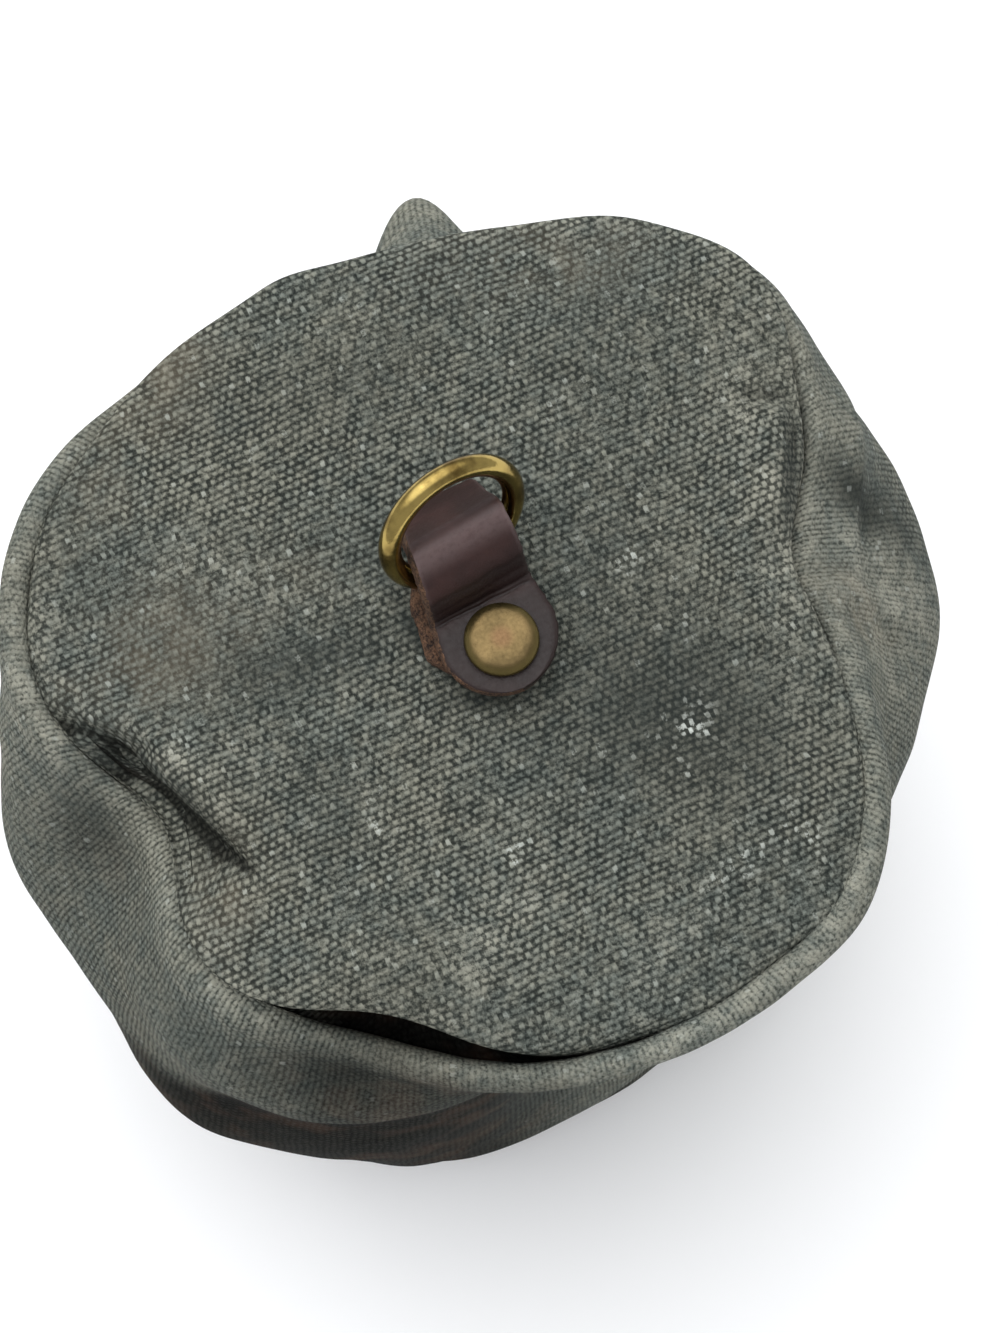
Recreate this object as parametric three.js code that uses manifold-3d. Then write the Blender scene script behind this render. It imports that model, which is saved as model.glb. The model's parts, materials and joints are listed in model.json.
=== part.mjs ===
// A round waxed-canvas bag for a handlebar, standing base up on its open mouth.
// Units are millimetres and degrees, +Z is up and z = 0 is the floor under the mouth.
// +Y runs along the leather tab, from its rivet to its ring, and +X across it.
import * as THREE from "three";
import { mergeVertices } from "three/addons/utils/BufferGeometryUtils.js";
import Module from "manifold-3d";

// Driving dimensions of the bag
const BASE_HEIGHT = 112;
const BASE_RADIUS = 52;
const CANVAS = 1.6;
const GAP = 0.3;
const RIM_WIDTH = 3.9;
const SEAM_DEPTH = 9;
const HEM_HEIGHT = 13;
const HEM_THICKNESS = 2.8;
const WALL_RADIUS = 54;
const MOUTH_RADIUS = 52.5;
const FLAT_RADIUS = 28;
const ROUND_STEPS = 84;

// The bag's axis and its rivet in plan. The axis sits off the origin so that the slumped
// outline is centred on it.
const AXIS = { x: 0, y: -3.86 };
const RIVET = { x: AXIS.x + 2.6, y: AXIS.y - 3.4 };

// Driving dimensions of the tab, its ring and its rivet
const LEATHER = 1.9;
const TAB_END_RADIUS = 7.3;
const TAB_NECK_WIDTH = 13;
const TAB_NECK_START = 6.5;
const TAB_NECK_END = 8.5;
const TAB_FOLD_WIDTH = 11.4;
const TAB_FOLD_SKEW = 6;
const TAB_FOLD_START = 13.5;
const TAB_END_AHEAD = 1;
const RING_INSIDE_DIAMETER = 14.2;
const RING_WIRE = 2.7;
const RING_LEAN = 22;
const RING_TURN = 10;
const CAP_DIAMETER = 9;
const CAP_EDGE = 0.6;
const CAP_DOME = 1.2;
const POST_DIAMETER = 3;

// Crown of the base panel, and the roll of its edge, as falls below its middle. The roll is
// measured inwards from the edge.
const PANEL_CROWN = [
  { radius: 20, fall: 0 },
  { radius: 32, fall: 0.2 },
  { radius: 36, fall: 0.4 },
  { radius: 40, fall: 0.6 },
  { radius: 44, fall: 0.9 },
];
const EDGE_ROLL = [
  { inward: 2.6, fall: 1.1 },
  { inward: 0.8, fall: 1.9 },
  { inward: 0.1, fall: 3.6 },
  { inward: 0, fall: 5.4 },
];
const EDGE_ROLL_UNDER = [
  { inward: 1.6, fall: 2.8 },
  { inward: 0.3, fall: 4.2 },
];

// Section of the rolled rim, from the seam outwards over its crest and down to the wall.
const RIM_CREST = 1.8;
const RIM_FALL = 1;
const RIM_ROLL = [
  { outward: 0.1, fall: 3.6 },
  { outward: 0.6, fall: 1.9 },
  { outward: RIM_CREST, fall: RIM_FALL },
  { outward: RIM_WIDTH - 0.7, fall: 1.9 },
  { outward: RIM_WIDTH, fall: 4 },
  { outward: RIM_WIDTH - 0.3, fall: 7.5 },
  { outward: RIM_WIDTH - 1.2, fall: 12 },
];

// Depths below the base at which the plain wall has a ring of vertices.
const WALL_DEPTHS = [18, 26, 36, 48, 62, 78];

// Folds of the seam. Each one pushes the rim in (minus) or out and lets it drop. On the base
// panel it raises a ridge just inside the seam, or swells the panel's edge out over the rim.
const SEAM_FOLDS = [
  { at: -11, half: 18, out: -11.5, drop: 3, ridge: 1.6, over: 0 },
  { at: -34, half: 13, out: -4, drop: 1, ridge: 0, over: 0 },
  { at: -62, half: 10, out: 1.8, drop: 0, ridge: 0, over: 0 },
  { at: 31, half: 17, out: 5.8, drop: 5.5, ridge: 0, over: 2.4 },
  { at: 56, half: 13, out: 0, drop: 4.5, ridge: 0, over: 2 },
  { at: 82, half: 20, out: -3.4, drop: 8, ridge: 0.5, over: 3 },
  { at: 114, half: 14, out: -2, drop: 4, ridge: 0, over: 2 },
  { at: 145, half: 20, out: 2, drop: 0, ridge: 0, over: 0 },
  { at: 186, half: 15.5, out: -9.4, drop: 5, ridge: 1.8, over: 0 },
  { at: 231, half: 18, out: -3.5, drop: 5.5, ridge: 1.8, over: 1.5 },
];

// Bellies and hollows of the wall: how far out (minus is in), and how far below the base.
const WALL_FOLDS = [
  { at: -2, half: 32, out: 10.5, below: 24, reach: 26 },
  { at: 177, half: 25, out: 10.4, below: 25, reach: 26 },
  { at: 215, half: 25, out: 7.6, below: 46, reach: 34 },
  { at: 72, half: 7.4, out: 14.4, below: 20, reach: 15 },
  { at: 223, half: 22, out: 4.6, below: 15, reach: 8 },
  { at: 233, half: 20, out: 3.4, below: 82, reach: 42 },
  { at: -91, half: 26, out: -4, below: 30, reach: 40 },
  { at: 136, half: 32, out: -4, below: 32, reach: 34 },
  { at: 46, half: 13, out: -3, below: 34, reach: 26 },
  { at: -41, half: 26, out: 3, below: 84, reach: 30 },
  { at: 24, half: 22, out: -3.5, below: 88, reach: 28 },
  { at: 99, half: 26, out: 3.5, below: 92, reach: 34 },
  { at: 169, half: 20, out: -3, below: 96, reach: 26 },
  { at: 289, half: 18, out: -3, below: 98, reach: 30 },
];

// A sharp crease of the base panel, in plan from the axis. The canvas falls on the outer side
// of its line, and comes back to its level over the fade.
const CREASE = { x: -43.5, y: -1, toX: -34, toY: -17, fall: 3.8, width: 4.6, fade: 9 };

const radians = THREE.MathUtils.degToRad;
const ramp = THREE.MathUtils.smoothstep;
const bell = (distance, half) => Math.exp(-((distance / half) ** 2));

// Difference of two bearings, from -180 to 180 degrees.
function turn(bearing, at) {
  return THREE.MathUtils.euclideanModulo(bearing - at + 180, 360) - 180;
}

// Sum of one column of the seam's folds at a bearing.
function seam(column, bearing) {
  return SEAM_FOLDS.reduce(
    (sum, fold) => sum + fold[column] * bell(turn(bearing, fold.at), fold.half),
    0,
  );
}

// How far the slumped canvas stands out from its sewn shape, at a bearing and a depth below
// the base. Seam folds die out down the wall. Wall folds start at a given depth: the rim's
// crest on the outside, and the foot of the seam on the inside.
function standsOut(bearing, depth, wallStart) {
  const seamFade = 12;
  const wallFull = 14;
  const belowSeam = Math.max(0, depth - SEAM_DEPTH);
  const fromSeam = seam("out", bearing) * bell(belowSeam, seamFade);
  const fromWall = WALL_FOLDS.reduce(
    (sum, fold) =>
      sum +
      fold.out *
        bell(turn(bearing, fold.at), fold.half) *
        bell(depth - fold.below, fold.reach),
    0,
  );
  return fromSeam + fromWall * ramp(depth, wallStart, wallFull);
}

// How far the canvas drops from its sewn height. It is nothing at the mouth.
function drops(bearing, depth) {
  const fadeFrom = 6;
  const fadeTo = 58;
  return seam("drop", bearing) * (1 - ramp(depth, fadeFrom, fadeTo));
}

// Height of the base panel's ridges at a bearing and radius.
function ridgeRise(bearing, radius) {
  const ridgeRadius = BASE_RADIUS - 9;
  const ridgeHalf = 6;
  return seam("ridge", bearing) * bell(radius - ridgeRadius, ridgeHalf);
}

// How far the base panel falls at its crease.
function creaseFall(x, y) {
  const line = new THREE.Vector2(CREASE.toX - CREASE.x, CREASE.toY - CREASE.y);
  const offset = new THREE.Vector2(x - CREASE.x, y - CREASE.y);
  const share = offset.dot(line) / line.lengthSq();
  const outside = offset.cross(line) / line.length();
  const begins = ramp(share, -0.15, 0.25);
  const ends = 1 - ramp(share, 0.75, 1.2);
  const fall = ramp(outside, -CREASE.width / 2, CREASE.width / 2);
  const fade = bell(Math.max(0, outside - CREASE.width / 2), CREASE.fade);
  return CREASE.fall * begins * ends * fall * fade;
}

// How far the base panel's shoulder swells out over the rim. It is nothing down in the seam.
function swellsOver(bearing, radius, depth) {
  const shoulderRadius = BASE_RADIUS - 3;
  const shoulderHalf = 5;
  const tuck = ramp(depth, 2.2, 4.6);
  return seam("over", bearing) * bell(radius - shoulderRadius, shoulderHalf) * (1 - tuck);
}

// Moves each vertex of a round sewn shape to where the slumped canvas lies. The share of the
// movement grows from the flat middle of the base panel to its seam, and only the panel's
// turned-down edge drops with the rim.
function slump(geometry) {
  const spot = geometry.getAttribute("position");
  for (let i = 0; i < spot.count; i++) {
    const radius = Math.hypot(spot.getX(i), spot.getY(i));
    const angle = Math.atan2(spot.getY(i), spot.getX(i));
    const bearing = THREE.MathUtils.radToDeg(angle);
    const depth = Math.max(0, BASE_HEIGHT - spot.getZ(i));
    const onPanel = radius < BASE_RADIUS;
    const share = ramp(radius, FLAT_RADIUS, BASE_RADIUS - 3);
    const dropShare = onPanel ? ramp(depth, 1.5, 6) : 1;
    const over = onPanel ? swellsOver(bearing, radius, depth) : 0;
    const wallStart = radius > BASE_RADIUS + RIM_CREST ? RIM_FALL : SEAM_DEPTH;
    const moved = radius + standsOut(bearing, depth, wallStart) * share + over;
    const x = moved * Math.cos(angle);
    const y = moved * Math.sin(angle);
    const inPanel = 1 - ramp(radius, BASE_RADIUS - 6, BASE_RADIUS - 2);
    const rise = onPanel ? ridgeRise(bearing, radius) - creaseFall(x, y) * inPanel : 0;
    const fall = drops(bearing, depth) * dropShare;
    spot.setXYZ(i, AXIS.x + x, AXIS.y + y, spot.getZ(i) - fall + rise);
  }
  return geometry;
}

const wasm = await Module();
wasm.setup();

// A closed geometry with only shared positions, without triangles that have no area.
function closed(geometry) {
  const bare = new THREE.BufferGeometry();
  bare.setAttribute("position", geometry.getAttribute("position"));
  bare.setIndex(geometry.index);
  const merged = mergeVertices(bare, 1e-4);
  const corners = merged.index.array;
  const kept = [];
  for (let i = 0; i < corners.length; i += 3) {
    const [a, b, c] = corners.slice(i, i + 3);
    if (a !== b && b !== c && c !== a) kept.push(a, b, c);
  }
  return merged.setIndex(kept);
}

// A closed geometry as a solid that can be cut, and back again.
function solidOf(geometry) {
  const bare = closed(geometry);
  const mesh = new wasm.Mesh({
    numProp: 3,
    vertProperties: new Float32Array(bare.getAttribute("position").array),
    triVerts: new Uint32Array(bare.index.array),
  });
  return new wasm.Manifold(mesh);
}

function geometryOf(solid) {
  const mesh = solid.getMesh();
  return new THREE.BufferGeometry()
    .setAttribute("position", new THREE.BufferAttribute(mesh.vertProperties, 3))
    .setIndex(new THREE.BufferAttribute(mesh.triVerts, 1));
}

// A solid of revolution about Z from a profile of [radius, z] pairs.
function turned(profile, steps) {
  const points = profile.map(([radius, z]) => new THREE.Vector2(radius, z));
  return new THREE.LatheGeometry(points, steps).rotateX(Math.PI / 2);
}

function mesh(name, geometry, material) {
  const made = new THREE.Mesh(closed(geometry), material);
  made.geometry.computeVertexNormals();
  made.name = name;
  return made;
}

// Materials
const canvas = new THREE.MeshStandardMaterial({ color: 0x63665f, roughness: 0.9 });
const leather = new THREE.MeshStandardMaterial({ color: 0x46332f, roughness: 0.5 });
const brass = new THREE.MeshStandardMaterial({
  color: 0xb08d4a,
  roughness: 0.3,
  metalness: 1,
});
const agedBrass = new THREE.MeshStandardMaterial({
  color: 0x8f7748,
  roughness: 0.4,
  metalness: 1,
});

// The hole that the rivet's post passes through, with its middle at the tab's seat.
function rivetHole() {
  const radius = POST_DIAMETER / 2 + GAP;
  const length = 20;
  return solidOf(
    new THREE.CylinderGeometry(radius, radius, length, 16)
      .rotateX(Math.PI / 2)
      .translate(RIVET.x, RIVET.y, BASE_HEIGHT),
  );
}

// Base panel: a round of canvas whose edge is turned down into the seam
function basePanel() {
  const edge = BASE_RADIUS - GAP / 2;
  const level = (fall) => BASE_HEIGHT - fall;
  const crown = PANEL_CROWN.map(({ radius, fall }) => [radius, level(fall)]);
  const roll = EDGE_ROLL.map(({ inward, fall }) => [edge - inward, level(fall)]);
  const under = PANEL_CROWN.map(({ radius, fall }) => [radius, level(fall + CANVAS)]);
  const underRoll = EDGE_ROLL_UNDER.map(({ inward, fall }) => [
    edge - CANVAS - inward,
    level(fall),
  ]);
  const profile = [
    [0, level(CANVAS)],
    ...under,
    ...underRoll,
    [edge - CANVAS, level(SEAM_DEPTH)],
    [edge, level(SEAM_DEPTH)],
    ...roll.reverse(),
    ...crown.reverse(),
    [0, level(0)],
  ];
  const panel = slump(turned(profile, ROUND_STEPS));
  return geometryOf(solidOf(panel).subtract(rivetHole()));
}

// Side wall: a tube of canvas. Its top is rolled over the seam's layers into a full rim, with
// a seam allowance under the panel's edge, and its mouth has a turned hem.
function sideWall() {
  const seamRadius = BASE_RADIUS + GAP / 2;
  const seamInside = seamRadius - 2 * CANVAS;
  const inside = WALL_RADIUS - CANVAS;
  const hemInside = MOUTH_RADIUS - HEM_THICKNESS;
  const layerStep = 3;
  const level = (fall) => BASE_HEIGHT - fall;
  const rim = RIM_ROLL.map(({ outward, fall }) => [seamRadius + outward, level(fall)]);
  const outer = WALL_DEPTHS.map((depth) => [WALL_RADIUS, level(depth)]);
  const inner = WALL_DEPTHS.map((depth) => [inside, level(depth)]);
  const profile = [
    [seamRadius, level(SEAM_DEPTH + GAP)],
    [seamInside, level(SEAM_DEPTH + GAP)],
    [seamInside, level(SEAM_DEPTH + CANVAS)],
    [inside, level(SEAM_DEPTH + layerStep)],
    ...inner,
    [inside, HEM_HEIGHT + layerStep],
    [hemInside, HEM_HEIGHT],
    [hemInside, 0],
    [MOUTH_RADIUS, 0],
    [MOUTH_RADIUS, HEM_HEIGHT],
    ...outer.reverse(),
    ...rim.reverse(),
    [seamRadius, level(SEAM_DEPTH + GAP)],
  ];
  return slump(turned(profile, ROUND_STEPS));
}

// Corners of the folded strap's centreline, seen along X, from the rivet (y) and the base (z).
// Each corner is softened over a length on both sides.
const LOWER_LEAF = GAP + LEATHER / 2;
const UPPER_LEAF = LOWER_LEAF + LEATHER + GAP;
const STRAP_CORNERS = [
  { y: -TAB_END_RADIUS - 1, z: LOWER_LEAF, soften: 0 },
  { y: 20.2, z: LOWER_LEAF, soften: 2.6 },
  { y: 12.6, z: 12.6, soften: 1.8 },
  { y: 8.6, z: 10.1, soften: 2.8 },
  { y: 5.9, z: UPPER_LEAF, soften: 1.3 },
  { y: -TAB_END_RADIUS - 1, z: UPPER_LEAF, soften: 0 },
];

// The strap's centreline as a path of straight runs and softened corners.
function strapPath() {
  const corners = STRAP_CORNERS.map(({ y, z }) => new THREE.Vector2(y, z));
  const path = new THREE.Path().moveTo(corners[0].x, corners[0].y);
  const toward = (from, to, length) =>
    from.clone().add(to.clone().sub(from).setLength(length));
  for (let i = 1; i < corners.length - 1; i++) {
    const reach = STRAP_CORNERS[i].soften;
    const before = toward(corners[i], corners[i - 1], reach);
    const after = toward(corners[i], corners[i + 1], reach);
    path.lineTo(before.x, before.y);
    path.quadraticCurveTo(corners[i].x, corners[i].y, after.x, after.y);
  }
  return path.lineTo(corners.at(-1).x, corners.at(-1).y);
}

// Turns the strap's raised fold a little against its lower leaf, as it was folded by hand.
function skewFold(ribbon) {
  const slope = Math.tan(radians(TAB_FOLD_SKEW));
  const spot = ribbon.getAttribute("position");
  for (let i = 0; i < spot.count; i++) {
    const raised = ramp(spot.getZ(i), LOWER_LEAF, 2 * UPPER_LEAF);
    spot.setY(i, spot.getY(i) + raised * slope * spot.getX(i));
  }
}

// Ring tab: a strap folded round the ring, trimmed in plan to a round end and a narrower neck
function ringTab() {
  const centre = strapPath().getPoints(7);
  const side = (sign) =>
    centre.map((point, i) => {
      const before = centre[Math.max(0, i - 1)];
      const after = centre[Math.min(centre.length - 1, i + 1)];
      const along = after.clone().sub(before).normalize();
      const across = new THREE.Vector2(-along.y, along.x);
      return point.clone().addScaledVector(across, (sign * LEATHER) / 2);
    });
  const section = new THREE.Shape([...side(1), ...side(-1).reverse()]);
  const width = 2 * TAB_END_RADIUS + 2;
  const ribbon = new THREE.ExtrudeGeometry(section, { depth: width, bevelEnabled: false })
    .translate(0, 0, -width / 2)
    .applyMatrix4(
      new THREE.Matrix4().makeBasis(
        new THREE.Vector3(0, 1, 0),
        new THREE.Vector3(0, 0, 1),
        new THREE.Vector3(1, 0, 0),
      ),
    );

  skewFold(ribbon);

  const neck = TAB_NECK_WIDTH / 2;
  const fold = TAB_FOLD_WIDTH / 2;
  const far = STRAP_CORNERS[1].y + LEATHER;
  const plan = new THREE.Shape()
    .moveTo(fold, far)
    .lineTo(-fold, far)
    .lineTo(-fold, TAB_FOLD_START)
    .lineTo(-neck, TAB_NECK_END)
    .lineTo(-neck, TAB_NECK_START)
    .lineTo(-TAB_END_RADIUS, TAB_END_AHEAD)
    .absarc(0, TAB_END_AHEAD, TAB_END_RADIUS, Math.PI, 2 * Math.PI, false)
    .lineTo(neck, TAB_NECK_START)
    .lineTo(neck, TAB_NECK_END)
    .lineTo(fold, TAB_FOLD_START);
  const cutter = new THREE.ExtrudeGeometry(plan, {
    depth: 2 * STRAP_CORNERS[2].z,
    bevelEnabled: false,
    curveSegments: 9,
  });

  ribbon.translate(RIVET.x, RIVET.y, BASE_HEIGHT);
  cutter.translate(RIVET.x, RIVET.y, BASE_HEIGHT);
  return geometryOf(solidOf(ribbon).intersect(solidOf(cutter)).subtract(rivetHole()));
}

// Tab rivet: a domed cap over the tab, a post and a cap inside the bag, in one piece
function tabRivet() {
  const cap = CAP_DIAMETER / 2;
  const post = POST_DIAMETER / 2;
  const seat = UPPER_LEAF + LEATHER / 2 + GAP;
  const inside = -CANVAS - GAP;
  const profile = [
    [0, inside - CAP_EDGE - CAP_DOME],
    [cap * 0.6, inside - CAP_EDGE - CAP_DOME * 0.75],
    [cap, inside - CAP_EDGE],
    [cap, inside],
    [post, inside],
    [post, seat],
    [cap, seat],
    [cap, seat + CAP_EDGE],
    [cap * 0.8, seat + CAP_EDGE + CAP_DOME * 0.5],
    [cap * 0.45, seat + CAP_EDGE + CAP_DOME * 0.87],
    [0, seat + CAP_EDGE + CAP_DOME],
  ];
  return turned(profile, 24).translate(RIVET.x, RIVET.y, BASE_HEIGHT);
}

// The ring's hinge: the level line through the tab's fold that the ring swings about
const HINGE = { y: 13.2, z: 11.5 };
const RING_OVER_HINGE = 0.9;

// Tab ring: a round ring of wire, leaning back from upright with its lower half in the loop,
// and turned a little in the fold
function tabRing() {
  const wire = RING_WIRE / 2;
  const ring = new THREE.TorusGeometry(RING_INSIDE_DIAMETER / 2 + wire, wire, 12, 40);
  return ring
    .rotateX(Math.PI / 2)
    .translate(0, 0, RING_OVER_HINGE)
    .rotateX(-radians(RING_LEAN))
    .rotateZ(radians(RING_TURN))
    .translate(RIVET.x, RIVET.y + HINGE.y, BASE_HEIGHT + HINGE.z);
}

const bag = new THREE.Group();
bag.add(mesh("base_panel", basePanel(), canvas));
bag.add(mesh("side_wall", sideWall(), canvas));
bag.add(mesh("ring_tab", ringTab(), leather));
bag.add(mesh("tab_rivet", tabRivet(), agedBrass));
bag.add(mesh("tab_ring", tabRing(), brass));

export default bag;
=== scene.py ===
import json
import math
from collections import namedtuple

import bmesh
import bpy
import numpy as np
from mathutils import Matrix, Vector, noise


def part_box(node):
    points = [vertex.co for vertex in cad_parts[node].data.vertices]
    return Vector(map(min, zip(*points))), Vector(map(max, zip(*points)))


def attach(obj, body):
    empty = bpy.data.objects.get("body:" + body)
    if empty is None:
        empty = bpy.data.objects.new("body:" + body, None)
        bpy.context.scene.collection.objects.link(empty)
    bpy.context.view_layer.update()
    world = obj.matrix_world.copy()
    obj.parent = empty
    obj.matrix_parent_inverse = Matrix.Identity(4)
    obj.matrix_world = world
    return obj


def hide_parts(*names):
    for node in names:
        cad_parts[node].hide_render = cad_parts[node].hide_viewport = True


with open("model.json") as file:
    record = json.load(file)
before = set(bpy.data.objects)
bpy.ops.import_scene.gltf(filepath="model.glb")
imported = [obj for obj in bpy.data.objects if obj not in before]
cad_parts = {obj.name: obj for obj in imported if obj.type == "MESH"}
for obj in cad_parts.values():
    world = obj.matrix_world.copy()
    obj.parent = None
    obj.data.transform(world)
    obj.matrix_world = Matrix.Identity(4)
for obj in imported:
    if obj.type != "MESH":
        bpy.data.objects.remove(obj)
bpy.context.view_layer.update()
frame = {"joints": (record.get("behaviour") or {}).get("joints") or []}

MM = 0.001


def node_box(node):
    """Lowest and highest corner of a solid of the frame, in millimetres."""
    low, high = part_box(node)
    return np.array(low) / MM, np.array(high) / MM


# Places taken from the frame
rivet_low, rivet_high = node_box("tab_rivet")
RIVET = (rivet_low + rivet_high)[:2] / 2
AXIS = RIVET - np.array([2.6, -3.4])
HINGE = np.array(frame["joints"][0]["pos_m"]) / MM

# Driving dimensions of the bag
BASE_HEIGHT = 112
BASE_RADIUS = 52
CANVAS = 1.6
RIM_WIDTH = 3.9
RIM_CREST = 1.8
RIM_FALL = 1
SEAM_DEPTH = 9
HEM_HEIGHT = 13
HEM_THICKNESS = 2.8
WALL_RADIUS = 54
MOUTH_RADIUS = 52.5
FLAT_RADIUS = 28
ROUND_STEPS = 400

# Driving dimensions of the tab, its ring and its rivet
LEATHER = 1.9
TAB_END_RADIUS = 7.3
TAB_END_AHEAD = 1
TAB_NECK_WIDTH = 13
TAB_RIDGE_WIDTH = 12.3
TAB_BACK_WIDTH = 11.2
TAB_FOLD_SKEW = 6
RING_WIRE = 2.7
RING_RADIUS = 8.45
RING_LEAN = 22
RING_TURN = 10
RING_OVER_HINGE = 0.9
CAP_DIAMETER = 9
CAP_SEAT = 4.7
CAP_HEIGHT = 1.8
CAP_STEPS = 96

# Weave of the canvas: the pitch of its fine ends and of its coarse rows
END_PITCH = 0.546
ROW_PITCH = 0.936
WALL_ROWS = 1.26

# Folds of the seam, as in the solids
SeamFold = namedtuple("SeamFold", "at half out drop ridge over")
SEAM_FOLDS = [
    SeamFold(-11, 18, -11.5, 3, 1.6, 0),
    SeamFold(-34, 13, -4, 1, 0, 0),
    SeamFold(-62, 10, 1.8, 0, 0, 0),
    SeamFold(31, 17, 5.8, 5.5, 0, 2.4),
    SeamFold(56, 13, 0, 4.5, 0, 2),
    SeamFold(82, 20, -3.4, 8, 0.5, 3),
    SeamFold(114, 14, -2, 4, 0, 2),
    SeamFold(145, 20, 2, 0, 0, 0),
    SeamFold(186, 15.5, -9.4, 5, 1.8, 0),
    SeamFold(231, 18, -3.5, 5.5, 1.8, 1.5),
]

# Bellies and hollows of the wall, as in the solids
WallFold = namedtuple("WallFold", "at half out below reach")
WALL_FOLDS = [
    WallFold(-2, 32, 10.5, 24, 26),
    WallFold(177, 25, 10.4, 25, 26),
    WallFold(215, 25, 7.6, 46, 34),
    WallFold(72, 7.4, 14.4, 20, 15),
    WallFold(223, 22, 4.6, 15, 8),
    WallFold(233, 20, 3.4, 82, 42),
    WallFold(-91, 26, -4, 30, 40),
    WallFold(136, 32, -4, 32, 34),
    WallFold(46, 13, -3, 34, 26),
    WallFold(-41, 26, 3, 84, 30),
    WallFold(24, 22, -3.5, 88, 28),
    WallFold(99, 26, 3.5, 92, 34),
    WallFold(169, 20, -3, 96, 26),
    WallFold(289, 18, -3, 98, 30),
]

# Smaller folds of the seam and of the wall
SMALL_SEAM_FOLDS = [
    SeamFold(281, 12, 0.8, 0, 0, 0),
    SeamFold(15, 7, -1.3, 0, 0, 0),
]
SMALL_FOLDS = [
    WallFold(10, 30, -1.0, 24, 24),
    WallFold(207, 12, 4.2, 54, 22),
    WallFold(238, 12, 1.2, 60, 40),
    WallFold(190, 10, -2.0, 34, 22),
    WallFold(262, 13, -4.2, 50, 40),
]

# Small swells of the base panel's edge: bearing, half width and how far out
Swell = namedtuple("Swell", "at half out")
EDGE_SWELLS = [
    Swell(47, 7, 1.6),
    Swell(92, 6, 1.0),
    Swell(113, 10, 0.8),
]

# Creases of the base panel, in plan from the bag's axis. The canvas falls on the right-hand
# side of each line, and lies back to its level over the fade.
Crease = namedtuple("Crease", "x y to_x to_y fall width fade crest")
CREASES = [
    Crease(-43.8, 7.7, -34.8, -15.1, 4.4, 1.0, 10, 1.0),
    Crease(-49.8, 13.5, -39.8, 3.0, 3.2, 1.4, 3, 0.5),
    Crease(47.4, 10.0, 40.0, -6.5, -2.6, 2.2, 6, 0.6),
]

# Soft rolls (plus) and hollows (minus) of the base panel, in plan from the bag's axis
Roll = namedtuple("Roll", "x y to_x to_y width height")
ROLLS = [
    Roll(-34, 4, -24, -16, 6, 1.4),
    Roll(-30, -30, -8, -40, 7, 1.4),
    Roll(-14, -34, 10, -38, 8, -0.96),
    Roll(-36, 18, -20, 24, 8, 1.1),
    Roll(20, 34, 40, 16, 8, 1.3),
    Roll(24, -14, 36, -26, 7, -1.1),
    Roll(6, -44, 26, -34, 5, 0.8),
    Roll(-10, 36, 12, 42, 7, 0.96),
    Roll(30, 4, 36, 20, 6, -0.96),
]

# Rolls and hollows of the wall near the seam, in plan from the bag's axis
WALL_ROLLS = [
    Roll(50.5, -1.5, 53.5, -6.0, 3.0, -2.3),
    Roll(42.0, -11.5, 54.0, -17.5, 2.4, 1.6),
    Roll(45.0, -17.0, 54.0, -24.0, 3.2, -0.9),
    Roll(47.5, -24.0, 56.0, -30.0, 3.4, 0.9),
    Roll(53.0, 8.0, 58.0, 3.0, 2.6, 0.8),
    Roll(-44.0, -29.5, -49.5, -36.0, 1.8, 1.4),
    Roll(-41.0, -34.0, -46.0, -39.0, 2.4, -1.0),
    Roll(-46.0, -14.0, -42.0, -27.0, 2.2, -0.9),
    Roll(-50.0, -10.0, -52.0, -24.0, 4.0, 0.7),
]


def bell(distance, half):
    """1 in the middle, falling off smoothly on both sides."""
    return np.exp(-((distance / half) ** 2))


def ramp(value, low, high):
    """0 up to the low value, 1 from the high one, and eased between."""
    share = np.clip((value - low) / (high - low), 0, 1)
    return share * share * (3 - 2 * share)


def turn(bearing, at):
    """Difference of two bearings, from -180 to 180 degrees."""
    return (bearing - at + 180) % 360 - 180


def seam(column, bearing):
    """Sum of one column of the seam's folds at each bearing."""
    return sum(
        getattr(fold, column) * bell(turn(bearing, fold.at), fold.half)
        for fold in SEAM_FOLDS + SMALL_SEAM_FOLDS
    )


def stands_out(bearing, depth, wall_start):
    """How far the slumped canvas stands out from its sewn shape, with wall folds from a depth."""
    seam_fade = 12
    # The wall's bellies start higher beside the deep dent
    wall_full = 14 - 6.5 * bell(turn(bearing, -8), 19) * (wall_start < SEAM_DEPTH)
    from_seam = seam("out", bearing) * bell(np.maximum(0, depth - SEAM_DEPTH), seam_fade)
    from_wall = sum(
        fold.out * bell(turn(bearing, fold.at), fold.half) * bell(depth - fold.below, fold.reach)
        for fold in WALL_FOLDS + SMALL_FOLDS
    )
    return from_seam + from_wall * ramp(depth, wall_start, wall_full)


def drops(bearing, depth):
    """How far the canvas drops from its sewn height."""
    return seam("drop", bearing) * (1 - ramp(depth, 6, 58))


# Where the seam gapes open, and where the wall below it is darkened by painted shade and stain
GAPE_BEARING = 235
GAPE_HALF = 13.5
DARKENED_BEARING = 229
DARKENED_DEPTH = 15.5
LOWER_DARKENED_BEARING = 214
LOWER_DARKENED_DEEPER = 14
SHELF_BEARING = 240
FLANK_BEARING = 196

# Stretches where the seam hardly shows: the bearing, its half width and how far it is filled
Quiet = namedtuple("Quiet", "at half share")
QUIET_SEAM = [
    Quiet(200, 22, 1),
    Quiet(-8, 14, 0.7),
    Quiet(-47, 22, 0.75),
    Quiet(-80, 9, 0.5),
    Quiet(35, 25, 0.5),
    Quiet(105, 42, 0.6),
    Quiet(162, 12, 0.5),
]


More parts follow.
